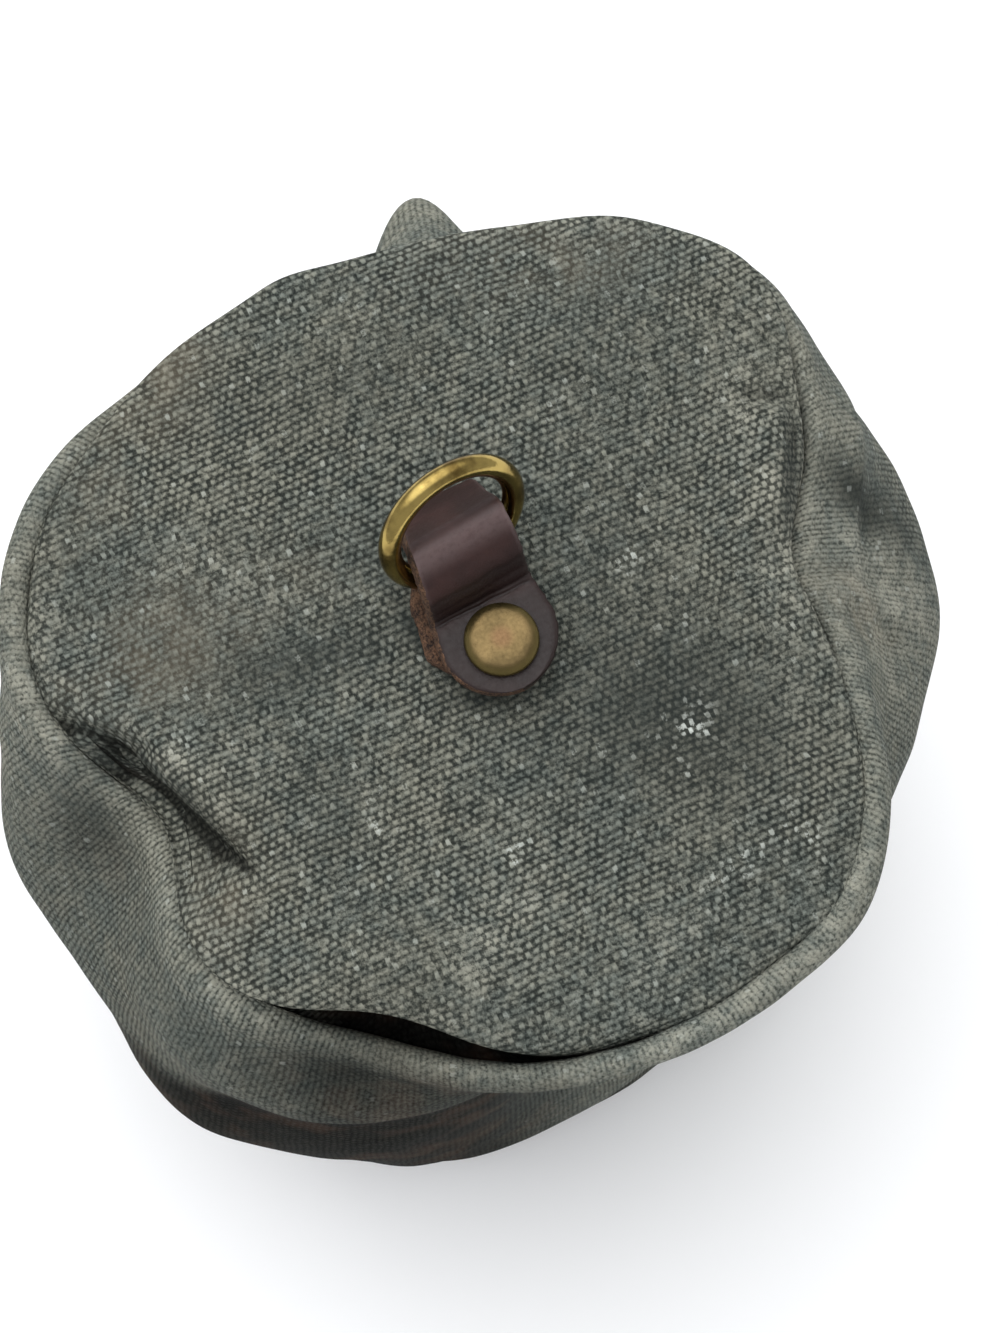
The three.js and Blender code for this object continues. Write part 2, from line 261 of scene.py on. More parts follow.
def quiet_seam(bearing):
    """Share of the seam's groove that is filled up, at each bearing."""
    edge = 5
    shares = sum(
        row.share * (1 - ramp(np.abs(turn(bearing, row.at)), row.half - edge, row.half + edge))
        for row in QUIET_SEAM
    )
    return np.minimum(1, shares)


def seam_fill(bearing, depth):
    """How far the seam's groove is filled up."""
    groove = np.clip(depth - 1.2, 0, 2.8) * (1 - ramp(depth, 4.5, SEAM_DEPTH))
    return 0.95 * quiet_seam(bearing) * groove


def ripple(points, wavelength, seed):
    """Smooth noise from -1 to 1 at each point."""
    shift = Vector((seed, 2.3 * seed, -1.7 * seed))
    return np.array([noise.noise(Vector(point) / wavelength + shift) for point in points])


def polar(rest):
    """Radius, angle, bearing and depth below the base of points on the sewn shape."""
    radius = np.hypot(rest[:, 0], rest[:, 1])
    angle = np.arctan2(rest[:, 1], rest[:, 0])
    return radius, angle, np.degrees(angle), np.maximum(0, BASE_HEIGHT - rest[:, 2])


def from_polar(radius, angle, height):
    """Points from radii, angles and heights."""
    return np.stack([radius * np.cos(angle), radius * np.sin(angle), height], axis=1)


def along_line(plan, line):
    """Share of the way along a line, and signed distance to its right, of plan points."""
    start = np.array([line.x, line.y])
    way = np.array([line.to_x, line.to_y]) - start
    length = np.hypot(*way)
    way = way / length
    offset = plan - start
    share = offset @ way / length
    return share, offset @ np.array([way[1], -way[0]])


def rolled(plan, rolls):
    """Height that soft rolls give the canvas at plan points."""
    height = np.zeros(len(plan))
    for roll in rolls:
        share, right = along_line(plan, roll)
        beyond = np.maximum(0, np.abs(share - 0.5) - 0.3)
        height += roll.height * bell(right, roll.width) * bell(beyond, 0.3)
    return height


def panel_relief(plan):
    """Height that creases and soft rolls give the base panel at plan points."""
    height = rolled(plan, ROLLS)
    for crease in CREASES:
        share, right = along_line(plan, crease)
        along = ramp(share, -0.1, 0.2) * (1 - ramp(share, 0.75, 1.1))
        fall = ramp(right, -crease.width / 2, crease.width / 2)
        back = bell(np.maximum(0, right - crease.width / 2), crease.fade)
        crest = bell(right + 2.5 * crease.width, 1.5 * crease.width)
        height += along * (crease.crest * crest - crease.fall * fall * back)
    return height


def slump_panel(rest):
    """Where the slumped base panel lies, for points of its sewn shape."""
    radius, angle, bearing, depth = polar(rest)
    share = ramp(radius, FLAT_RADIUS, BASE_RADIUS - 3)
    ridge = seam("ridge", bearing) * bell(radius - BASE_RADIUS + 9, 6)
    over = seam("over", bearing) + sum(
        swell.out * bell(turn(bearing, swell.at), swell.half) for swell in EDGE_SWELLS
    )
    over *= bell(radius - BASE_RADIUS + 3, 5) * (1 - ramp(depth, 2.2, 4.6))
    gape = bell(turn(bearing, GAPE_BEARING), GAPE_HALF) * ramp(radius, BASE_RADIUS - 12, BASE_RADIUS - 2)
    undercut = gape * (2.4 + 2.4 * ramp(depth, 1.8, 4)) * (1 - ramp(depth, 7, 9))
    moved = radius + stands_out(bearing, depth, np.full(len(rest), SEAM_DEPTH)) * share
    moved += over - undercut + 0.5 * quiet_seam(bearing) * ramp(radius, BASE_RADIUS - 2, BASE_RADIUS)
    height = rest[:, 2] - drops(bearing, depth) * ramp(depth, 1.5, 6) + ridge
    height += seam_fill(bearing, depth) * ramp(radius, BASE_RADIUS - 4, BASE_RADIUS - 1)
    lies = from_polar(moved, angle, height)
    inside = 1 - ramp(radius, BASE_RADIUS - 5, BASE_RADIUS - 1)
    lies[:, 2] += panel_relief(lies[:, :2]) * (1 - ramp(depth, 1.9, 4.2))
    lies[:, 2] += 0.45 * ripple(rest, 15, 3) * inside + 0.16 * ripple(rest, 5, 7)
    return lies


def slump_wall(rest):
    """Where the slumped side wall lies, for points of its sewn shape."""
    radius, angle, bearing, depth = polar(rest)
    wall_start = np.where(radius > BASE_RADIUS + RIM_CREST, RIM_FALL, SEAM_DEPTH)
    moved = radius + stands_out(bearing, depth, wall_start)
    height = rest[:, 2] - drops(bearing, depth)
    height += seam_fill(bearing, depth) * (radius < BASE_RADIUS + RIM_CREST)
    lies = from_polar(moved, angle, height)
    loose = ramp(depth, 8, 24) * (1 - ramp(depth, 96, 111))
    stretched = rest * np.array([1, 1, 0.6])
    crumple = 1.5 * ripple(stretched, 26, 5) + 0.7 * ripple(stretched, 11, 9)
    crumple = crumple * loose + 0.14 * ripple(rest, 5, 11)
    lies[:, :2] += crumple[:, None] * np.stack([np.cos(angle), np.sin(angle)], axis=1)
    outside = (radius > BASE_RADIUS + RIM_CREST) * ramp(depth, RIM_FALL, 3) * (1 - ramp(depth, 14, 26))
    lies[:, 2] += rolled(lies[:, :2], WALL_ROLLS) * outside
    return lies


def smooth_line(points, step):
    """Points about a step apart on a smooth curve through a few section points."""
    points = np.array(points, float)
    ends = np.vstack([2 * points[0] - points[1], points, 2 * points[-1] - points[-2]])
    line = []
    for before, start, end, after in zip(ends, ends[1:], ends[2:], ends[3:]):
        count = max(1, round(np.hypot(*(end - start)) / step))
        for share in np.arange(count) / count:
            pull = start + share * (end - start)
            ease = share * (1 - share)
            leave = (end - before) / 2 - (end - start)
            arrive = (after - start) / 2 - (end - start)
            line.append(pull + ease * ((1 - share) * leave - share * arrive))
    return np.array(line + [points[-1]])


def spun(section, steps):
    """A bmesh turned about Z from a section of [radius, z] points, with each point's way along it."""
    bm = bmesh.new()
    way = bm.verts.layers.float.new("way")
    gaps = np.hypot(*np.diff(section, axis=0).T)
    lengths = np.concatenate([[0], np.cumsum(gaps)])
    verts = [bm.verts.new((radius, 0, z)) for radius, z in section]
    for vert, length in zip(verts, lengths):
        vert[way] = length
    edges = [bm.edges.new(pair) for pair in zip(verts, verts[1:])]
    bmesh.ops.spin(
        bm,
        geom=verts + edges,
        axis=(0, 0, 1),
        cent=(0, 0, 0),
        steps=steps,
        angle=2 * math.pi,
        use_merge=True,
    )
    bmesh.ops.remove_doubles(bm, verts=bm.verts, dist=1e-4)
    bmesh.ops.recalc_face_normals(bm, faces=bm.faces)
    bm.verts.ensure_lookup_table()
    return bm


def spoke_lengths(bm, rest, lies):
    """How far each point lies from the middle, measured over the slumped cloth along its spoke."""
    way = bm.verts.layers.float["way"]
    along = np.array([vert[way] for vert in bm.verts])
    spokes = np.rint(np.arctan2(rest[:, 1], rest[:, 0]) / (2 * math.pi) * ROUND_STEPS) % ROUND_STEPS
    lengths = np.zeros(len(rest))
    for spoke in range(ROUND_STEPS):
        line = np.flatnonzero(spokes == spoke)
        line = line[np.argsort(along[line])]
        steps = np.linalg.norm(np.diff(lies[line], axis=0), axis=1)
        start = np.hypot(*lies[line[0], :2])
        lengths[line] = start + np.concatenate([[0], np.cumsum(steps)])
    return lengths


def places(bm):
    """Every vertex's place."""
    return np.array([vert.co for vert in bm.verts])


def place(bm, points):
    """Moves every vertex to its point."""
    for vert, point in zip(bm.verts, points):
        vert.co = point


def crests(bm, rounds):
    """How far each vertex stands over its smoothed surroundings, in millimetres."""
    ends = np.array([[vert.index for vert in edge.verts] for edge in bm.edges])
    start = places(bm)
    count = np.bincount(ends.ravel(), minlength=len(start))[:, None]
    smooth = start
    for _ in range(rounds):
        total = np.zeros_like(start)
        np.add.at(total, ends[:, 0], smooth[ends[:, 1]])
        np.add.at(total, ends[:, 1], smooth[ends[:, 0]])
        smooth = total / count
    bm.normal_update()
    normals = np.array([vert.normal for vert in bm.verts])
    return np.einsum("ij,ij->i", start - smooth, normals)


def store(bm, name, values):
    """Keeps one value for each vertex, for a finish to read."""
    layer = bm.verts.layers.float.new(name)
    for vert, value in zip(bm.verts, values):
        vert[layer] = value


# Patches in plan from the bag's axis: pale scuffs, tan dust, white flecks, and dark patches that are
# partly dark wax and partly painted shade and shadow in hollows, on fold faces and beside the tab
Patch = namedtuple("Patch", "x y long wide angle kind strength")
PATCHES = [
    Patch(-12, -34, 9, 5, 35, "scuff", 0.9),
    Patch(4, -44, 8, 3, 30, "scuff", 0.5),
    Patch(-19.7, -16, 5, 0.9, -98, "scuff", 0.9),
    Patch(-30, -3, 5, 1.6, -50, "scuff", 0.6),
    Patch(41, 0, 9, 2.5, 80, "scuff", 0.7),
    Patch(32, -24, 12, 3, 70, "scuff", 0.4),
    Patch(-26, 21, 7, 4, 143, "scuff", 0.5),
    Patch(-18, 13.2, 9, 3, -18, "scuff", 0.45),
    Patch(30, 43.5, 20, 3, -25, "scuff", 0.5),
    Patch(-14, -20, 8, 5, 0, "scuff", 0.3),
    Patch(38, -7, 10, 3, 65, "scuff", 0.8),
    Patch(-37.5, -2, 10, 2.6, -66, "scuff", 0.8),
    Patch(46.8, -21, 7, 1.6, -87, "scuff", 0.9),
    Patch(53, -14, 11, 6, -75, "scuff", 0.8),
    Patch(-50, 14, 13, 5, 75, "scuff", 0.8),
    Patch(-1.5, -54, 9, 1.3, -3, "scuff", 0.7),
    Patch(13, -53, 9, 1.3, 10, "scuff", 0.7),
    Patch(26.5, -47.5, 7, 1.3, 35, "scuff", 0.8),
    Patch(-43.2, -24.5, 7, 1.5, -80, "scuff", 0.8),
    Patch(43, 14, 12, 3, 65, "scuff", 0.5),
    Patch(-24, 43, 16, 5, 40, "tan", 0.8),
    Patch(-36, 14, 11, 7, 20, "tan", 0.8),
    Patch(28, 40, 14, 5, -20, "tan", 0.6),
    Patch(-39, -16, 6, 4, 60, "tan", 0.9),
    Patch(-20, 12, 10, 4, 20, "tan", 0.4),
    Patch(45, -14.5, 6, 3.5, -60, "tan", 1.0),
    Patch(14, -19, 17, 10, -25, "dark", 0.7),
    Patch(20, 6, 12, 7, 10, "dark", 0.35),
    Patch(-25, -12, 10, 5, -55, "dark", 0.35),
    Patch(2, 34, 16, 5, 10, "dark", 0.25),
    Patch(-19, 4.8, 11, 3.5, -10, "dark", 1.1),
    # Painted shade on the step of the left crease
    Patch(-39.8, -3.2, 9, 1.3, -65, "dark", 1.2),
    Patch(20, -18, 18, 10, -65, "dark", 0.8),
    Patch(-10, 38, 10, 5, -8, "dark", 0.4),
    Patch(27, 27, 9, 6, 0, "dark", 0.4),
    # Painted shade in the wall's hollow below the left rim, in the right dent's pocket and on its fold
    # face
    Patch(-51, 0.5, 6, 4, -70, "dark", 1.1),
    Patch(52.5, -1.6, 5.5, 3, -50, "dark", 1.7),
    Patch(58.5, -5, 7, 3, -70, "dark", 0.8),
    Patch(43.4, 1.6, 6.5, 1.4, 62, "dark", 1.6),
    Patch(-45.6, 5.6, 4, 1.8, -46, "dark", 1.2),
    Patch(-39, -38, 14, 4, -22, "dark", 1.0),
    # Painted shadow beside and below the tab
    Patch(-1.8, -8.1, 4.5, 1.4, -25, "dark", 1.3),
    Patch(-5.8, 2, 6.5, 1.3, 96, "dark", 1.2),
    Patch(21.6, 0.6, 2.6, 1.6, 0, "fleck", 0.9),
    Patch(18.5, -22.4, 5, 2.5, 60, "fleck", 0.7),
    Patch(21.5, 21.7, 1.4, 1, 0, "fleck", 0.7),
    Patch(-6, -27, 3.5, 1.8, 70, "fleck", 0.8),
    Patch(16, -39, 5, 2, 35, "fleck", 0.8),
    Patch(25, -39, 4, 2.4, 80, "fleck", 0.8),
    Patch(-19.7, -16, 3.5, 0.8, -98, "fleck", 0.8),
    Patch(-36, 1, 3, 0.9, -65, "fleck", 0.6),
]


def patch_strength(points, kind):
    """Strength of one kind of patch at points; the dark kind is partly painted shade."""
    total = np.zeros(len(points))
    plan = points[:, :2]
    for patch in PATCHES:
        if patch.kind != kind:
            continue
        angle = math.radians(patch.angle)
        way = np.array([math.cos(angle), math.sin(angle)])
        offset = plan - np.array([patch.x, patch.y])
        along = offset @ way / patch.long
        across = offset @ np.array([-way[1], way[0]]) / patch.wide
        total += patch.strength * np.exp(-(along**2) - across**2)
    return total


def store_wear_and_shade(bm, points, near_seam, shade_and_stain):
    """Crests, dips near the seam for painted shade, the mask of painted shade and staining, and the
    scuff, tan, fleck and dark patches, as values for the canvas's looks.
    """
    store(bm, "crest", crests(bm, 14))
    store(bm, "dip", -crests(bm, 5) * near_seam)
    store(bm, "shade_and_stain", shade_and_stain)
    for kind in ("scuff", "tan", "fleck", "dark"):
        store(bm, kind, patch_strength(points, kind))


def finish_piece(name, bm, materials, node, body):
    """A shown piece made from a bmesh in millimetres, in place of a solid of the frame."""
    bmesh.ops.scale(bm, vec=(MM, MM, MM), verts=bm.verts)
    mesh = bpy.data.meshes.new(name)
    bm.to_mesh(mesh)
    bm.free()
    mesh.shade_smooth()
    for material in materials:
        mesh.materials.append(material)
    piece = bpy.data.objects.new(name, mesh)
    bpy.context.scene.collection.objects.link(piece)
    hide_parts(node)
    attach(piece, body)
    return piece


class Wiring:
    """A node tree that is being wired. Each call adds one node and gives back an output."""

    def __init__(self, tree):
        self.tree = tree

    def add(self, kind, inputs, out=0, **settings):
        node = self.tree.nodes.new(kind)
        for name, value in settings.items():
            setattr(node, name, value)
        for key, value in inputs.items():
            if isinstance(value, bpy.types.NodeSocket):
                self.tree.links.new(value, node.inputs[key])
            else:
                node.inputs[key].default_value = value
        return node.outputs[out]

    def math(self, operation, first, second=0.0, clamp=False):
        inputs = {0: first, 1: second}
        return self.add("ShaderNodeMath", inputs, operation=operation, use_clamp=clamp)

    def vector(self, operation, first, second=(0.0, 0.0, 0.0)):
        return self.add("ShaderNodeVectorMath", {0: first, 1: second}, operation=operation)

    def span(self, value, low, high, to_low=0.0, to_high=1.0):
        """A value eased from one span to another."""
        inputs = {0: value, 1: low, 2: high, 3: to_low, 4: to_high}
        return self.add("ShaderNodeMapRange", inputs, interpolation_type="SMOOTHSTEP")

    def mix(self, share, first, second):
        inputs = {0: share, 6: first, 7: second}
        return self.add("ShaderNodeMix", inputs, out=2, data_type="RGBA")

    def noise(self, vector, scale, detail=3.0, roughness=0.55):
        inputs = {"Vector": vector, "Scale": scale, "Detail": detail, "Roughness": roughness}
        return self.add("ShaderNodeTexNoise", inputs)

    def attribute(self, name):
        return self.add("ShaderNodeAttribute", {}, out=2, attribute_name=name)


def srgb(red, green, blue):
    """A linear colour from screen values of 0 to 255."""
    parts = np.array([red, green, blue]) / 255
    linear = np.where(parts <= 0.04045, parts / 12.92, ((parts + 0.055) / 1.055) ** 2.4)
    return (*linear, 1.0)


def new_material(name, **finish):
    """A material with its surface shader, whose unchanging values are set on its sockets."""
    material = bpy.data.materials.new(name)
    material.use_nodes = True
    surface = material.node_tree.nodes["Principled BSDF"]
    for socket, value in finish.items():
        surface.inputs[socket.replace("_", " ")].default_value = value
    return Wiring(material.node_tree), surface, material


def canvas_material():
    """Waxed cotton duck: plain weave, mottled wax, pale wear, tan dust, white flecks, staining, and
    painted shade in the seam, in dips and hollows and on the lower wall.
    """
    w, surface, material = new_material("waxed_canvas", Specular_IOR_Level=0.03)
    link = w.tree.links.new
    flat = w.add("ShaderNodeUVMap", {}, uv_map="weave")
    spot = w.add("ShaderNodeTexCoord", {}, out="Object")

    # Yarns that wander a little
    wander = w.add("ShaderNodeTexNoise", {"Vector": flat, "Scale": 260.0, "Detail": 3.0}, out=1)
    wander = w.vector("ADD", wander, (-0.5, -0.5, -0.5))
    wander = w.vector("MULTIPLY", wander, (0.0011, 0.0011, 0.0))
    yarn = w.vector("ADD", flat, wander)
    yarn = w.vector("MULTIPLY", yarn, (1 / (END_PITCH * MM), 1 / (ROW_PITCH * MM), 0.0))
    ends = w.add("ShaderNodeSeparateXYZ", {0: yarn}, out=0)
    rows = w.add("ShaderNodeSeparateXYZ", {0: yarn}, out=1)
    wave_ends = w.math("SINE", w.math("MULTIPLY", ends, math.pi))
    wave_rows = w.math("SINE", w.math("MULTIPLY", rows, math.pi))
    over = w.math("SIGN", w.math("MULTIPLY", wave_ends, wave_rows))
    along = w.math("POWER", w.math("ABSOLUTE", wave_ends), 0.6)
    ridge = w.math("POWER", w.math("ABSOLUTE", wave_rows), 1.8)
    ribs = w.attribute("ribs")
    cross = w.math("MULTIPLY", over, w.math("MULTIPLY", along, ridge))
    cross = w.math("MULTIPLY", cross, w.span(ribs, 0.8, 1.0, 0.95, 0.6))
    rib = w.math("MULTIPLY", w.math("SUBTRACT", ridge, 0.53), ribs)
    height = w.math("ADD", w.math("MULTIPLY", cross, 0.5), w.math("MULTIPLY", rib, 0.5))
    cell = w.vector("FLOOR", yarn)
    chance = w.add("ShaderNodeTexWhiteNoise", {"Vector": cell}, noise_dimensions="2D")

    # Mottled yarn colours, darkest where a yarn dives and palest where one comes over
    broad = w.noise(spot, 48.0, 4.0)
    fine = w.noise(spot, 520.0, 4.0, 0.65)
    fibre = w.noise(spot, 2600.0, 4.0, 0.75)
    shade = w.math("ADD", w.math("MULTIPLY", broad, 0.6), w.math("MULTIPLY", fine, 0.4))
    rows_show = w.math("MULTIPLY", rib, w.span(ribs, 0.8, 1.0, 0.62, 0.42))
    weave = w.math("ADD", w.math("MULTIPLY", cross, 0.32), rows_show)
    weave = w.math("MULTIPLY", weave, w.span(w.noise(spot, 34.0), 0.38, 0.62, 0.6, 1.1))
    tone = w.math("ADD", weave, w.math("MULTIPLY", fibre, 1.9))
    tone = w.math("ADD", tone, w.math("MULTIPLY", chance, w.span(ribs, 0.8, 1.0, 0.36, 0.14)))
    tone = w.math("ADD", tone, w.span(ribs, 0.8, 1.0, 0.0, 0.26))
    tone = w.math("ADD", tone, w.math("MULTIPLY", fine, 0.35))
    tone = w.span(tone, 0.83, 1.98)
    low_yarn = w.mix(w.span(shade, 0.36, 0.64), srgb(37, 41, 39), srgb(44, 46, 42))
    top_yarn = w.mix(w.span(shade, 0.36, 0.64), srgb(116, 122, 115), srgb(138, 138, 125))
    cloth = w.mix(tone, low_yarn, top_yarn)

    # Wear on the crests, dust and flecks of bare thread; painted shade in dips, in the seam's groove, on
    # the rim's shelf and in dark patches of wax and shade; painted shade and stain on the lower wall
    crest = w.attribute("crest")
    rubbed = w.span(crest, 0.03, 0.4)
    sunk = w.span(w.attribute("dip"), 0.05, 0.32)
    patchy = w.noise(spot, 260.0, 5.0, 0.7)
    scuff = w.math("ADD", w.attribute("scuff"), w.math("MULTIPLY", rubbed, 0.4))
    scuff = w.math("MULTIPLY", scuff, w.span(patchy, 0.32, 0.7))
    scuff = w.math("MULTIPLY", scuff, w.span(tone, 0.1, 0.75, 0.1, 1.0), clamp=True)
    cloth = w.mix(w.math("MULTIPLY", scuff, 0.75), cloth, srgb(162, 161, 147))
    tan = w.math("MULTIPLY", w.attribute("tan"), w.span(w.noise(spot, 120.0, 4.0), 0.3, 0.65))
    cloth = w.mix(w.math("MULTIPLY", tan, 0.4, clamp=True), cloth, srgb(126, 115, 97))
    # Dark patches, partly darker wax and partly painted shade and shadow
    cloth = w.mix(w.math("MULTIPLY", w.attribute("dark"), 0.5, clamp=True), cloth, srgb(44, 48, 46))
    bare = w.math("MULTIPLY", w.attribute("fleck"), w.span(patchy, 0.4, 0.66))
    bare = w.math("MULTIPLY", bare, w.span(chance, 0.35, 0.9))
    bare = w.math("ADD", bare, w.math("MULTIPLY", w.span(chance, 0.965, 1.0), 0.2))
    bare = w.math("MULTIPLY", bare, w.span(tone, 0.35, 0.8))
    cloth = w.mix(w.math("MULTIPLY", bare, 1.3, clamp=True), cloth, srgb(190, 195, 188))
    # Painted shade and stain: near black to dark brown where the seam's groove, the rim's shelf, the left
    # flank and the lower wall are darkened
    stain_and_shade_colour = w.mix(w.span(w.noise(spot, 95.0, 3.0), 0.45, 0.65), srgb(7, 6, 6), srgb(46, 33, 26))
    cloth = w.mix(w.math("MULTIPLY", w.attribute("shade_and_stain"), 0.95, clamp=True), cloth, stain_and_shade_colour)
    # Painted shade in dips: crease feet and the seam's groove darkened to near black
    cloth = w.mix(w.math("MULTIPLY", sunk, 0.75), cloth, srgb(20, 20, 18))
    link(cloth, surface.inputs["Base Color"])
    link(w.span(broad, 0.3, 0.7, 0.76, 0.92), surface.inputs["Roughness"])
    relief = w.math("ADD", height, w.math("MULTIPLY", fibre, 0.7))
    bump = w.add("ShaderNodeBump", {"Strength": 0.55, "Distance": 0.0003, "Height": relief})
    link(bump, surface.inputs["Normal"])
    return material


def leather_material():
    """Smooth dark hide with a fine grain; a painted highlight in front of the ridge and paler edges from
    wear; painted shade in the creases and on the slope down to the bend, and darker hide on the flat end.
    """
    w, surface, material = new_material("tab_hide", Specular_IOR_Level=0.3)
    link = w.tree.links.new
    spot = w.add("ShaderNodeTexCoord", {}, out="Object")
    broad = w.noise(spot, 150.0, 4.0)
    fine = w.noise(spot, 1400.0, 4.0, 0.65)
    pore = w.add("ShaderNodeTexVoronoi", {"Vector": spot, "Scale": 3200.0})
    hide = w.mix(w.span(broad, 0.32, 0.68), srgb(42, 24, 22), srgb(58, 35, 32))
    # Painted highlight on the band in front of the ridge, and paler edges from wear
    highlight_and_wear = w.math("MULTIPLY", w.attribute("highlight_and_wear"), w.span(fine, 0.2, 0.6, 0.6, 1.0))
    hide = w.mix(w.math("MULTIPLY", highlight_and_wear, 0.5, clamp=True), hide, srgb(122, 104, 103))
    # Painted shade in the creases and on the slope just above the bend, and darker hide on the flat end
    folded = w.span(w.attribute("folded"), 0.1, 0.9)
    hide = w.mix(w.math("MULTIPLY", folded, 0.75), hide, srgb(24, 17, 15))
    link(hide, surface.inputs["Base Color"])
    link(w.span(fine, 0.3, 0.7, 0.42, 0.54), surface.inputs["Roughness"])
    relief = w.math("ADD", w.math("MULTIPLY", pore, 0.5), fine)
    bump = w.add("ShaderNodeBump", {"Strength": 0.22, "Distance": 0.0002, "Height": relief})
    link(bump, surface.inputs["Normal"])
    return material


def raw_edge_material():
    """Fibrous cut edge and flesh side of the hide."""
    w, surface, material = new_material("raw_hide", Roughness=0.9)
    link = w.tree.links.new
    spot = w.add("ShaderNodeTexCoord", {}, out="Object")
    strands = w.vector("MULTIPLY", spot, (1.0, 0.8, 1.6))
    fibre = w.noise(strands, 3600.0, 5.0, 0.75)
    patch = w.noise(spot, 700.0, 3.0)
    tone = w.math("ADD", w.math("MULTIPLY", fibre, 0.65), w.math("MULTIPLY", patch, 0.35))
    hide = w.mix(w.span(tone, 0.38, 0.66), srgb(30, 18, 13), srgb(134, 98, 72))
    link(hide, surface.inputs["Base Color"])
    bump = w.add("ShaderNodeBump", {"Strength": 0.9, "Distance": 0.0005, "Height": fibre})
    link(bump, surface.inputs["Normal"])
    return material


def ring_brass():
    """Handled polished brass, with tarnish in patches and fine scratches."""
    w, surface, material = new_material("ring_brass", Metallic=1.0)
    link = w.tree.links.new
    spot = w.add("ShaderNodeTexCoord", {}, out="Object")
    patch = w.noise(spot, 260.0, 4.0)
    scratch = w.noise(spot, 2300.0, 3.0, 0.6)
    metal = w.mix(w.span(patch, 0.38, 0.7), srgb(172, 150, 88), srgb(98, 80, 42))
    link(metal, surface.inputs["Base Color"])
    rough = w.math("ADD", w.math("MULTIPLY", patch, 0.6), w.math("MULTIPLY", scratch, 0.4))
    link(w.span(rough, 0.35, 0.68, 0.1, 0.24), surface.inputs["Roughness"])
    bump = w.add("ShaderNodeBump", {"Strength": 0.1, "Distance": 0.0001, "Height": scratch})
    link(bump, surface.inputs["Normal"])
    return material


def rivet_brass():
    """Satin brass of the cap, with turning marks, a coppery middle, tarnish, small nicks, and a paler rim
    that is partly a painted highlight.
    """
    w, surface, material = new_material("rivet_brass", Metallic=1.0)
    link = w.tree.links.new
    spot = w.add("ShaderNodeTexCoord", {}, out="Object")
    from_middle = w.attribute("from_middle")
    patch = w.noise(spot, 330.0, 4.0)
    scratch = w.noise(spot, 2600.0, 4.0, 0.7)
    wobble = w.math("MULTIPLY", patch, 5.0)
    marks = w.math("SINE", w.math("ADD", w.math("MULTIPLY", from_middle, 8.5), wobble))
    metal = w.mix(w.span(patch, 0.35, 0.7), srgb(116, 98, 66), srgb(92, 78, 52))
    metal = w.mix(w.span(from_middle, 1.9, 0.5, 0.0, 0.55), metal, srgb(112, 82, 61))
    # A paler yellow rim at the cap's edge: partly rubbed brass, partly a painted highlight
    metal = w.mix(w.span(from_middle, 3.3, 4.4, 0.0, 0.5), metal, srgb(118, 108, 62))
    nick = w.span(scratch, 0.66, 0.74)
    metal = w.mix(w.math("MULTIPLY", nick, 0.7), metal, srgb(72, 56, 34))
    link(metal, surface.inputs["Base Color"])
    link(w.span(scratch, 0.3, 0.7, 0.36, 0.52), surface.inputs["Roughness"])
    relief = w.math("ADD", w.math("MULTIPLY", marks, 0.12), scratch)
    bump = w.add("ShaderNodeBump", {"Strength": 0.22, "Distance": 0.0001, "Height": relief})
    link(bump, surface.inputs["Normal"])
    return material


def base_panel(canvas):
    """The round of canvas that closes the bag, its edge turned down into the seam."""
    edge = BASE_RADIUS
    top = [[0, 0], [10, 0], [20, 0], [32, 0.2], [40, 0.6], [44, 0.9]]
    roll = [[edge - 2.6, 1.1], [edge - 0.8, 1.9], [edge - 0.1, 3.6], [edge, 5.4], [edge, SEAM_DEPTH]]
    inner = edge - CANVAS
    under = [[inner, SEAM_DEPTH], [inner - 0.3, 4.2], [inner - 1.6, 2.8], [44, 0.9 + CANVAS]]
    under += [[40, 0.6 + CANVAS], [32, 0.2 + CANVAS], [20, CANVAS], [0, CANVAS]]
    section = np.vstack([smooth_line(top + roll, 0.62), smooth_line(under, 1.5)])
    section[:, 1] = BASE_HEIGHT - section[:, 1]
    bm = spun(section, ROUND_STEPS)
    rest = places(bm)
    weave = bm.loops.layers.uv.new("weave")
    lies = slump_panel(rest)
    across = np.maximum(np.hypot(lies[:, 0], lies[:, 1]), 1e-6)
    flat = lies[:, :2] * (spoke_lengths(bm, rest, lies) / across)[:, None] * MM
    for face in bm.faces:
        for loop in face.loops:
            loop[weave].uv = flat[loop.vert.index]
    place(bm, lies)
    radius, _, bearing, depth = polar(rest)
    store(bm, "ribs", np.full(len(rest), 0.8))
    at_edge = ramp(radius, BASE_RADIUS - 3, BASE_RADIUS - 1)
    # Painted shade: dips near the seam, and the panel's edge down in the seam's groove where it isn't
    # filled, are darkened in the canvas's colour
    near_seam = (1 - ramp(depth, 4, 7)) * (1 - quiet_seam(bearing) * at_edge)
    store_wear_and_shade(bm, lies, near_seam, ramp(depth, 2.6, 4.6) * (1 - quiet_seam(bearing)))
    bmesh.ops.translate(bm, vec=(*AXIS, 0), verts=bm.verts)
    return finish_piece("base_canvas", bm, [canvas], "base_panel", "bag")


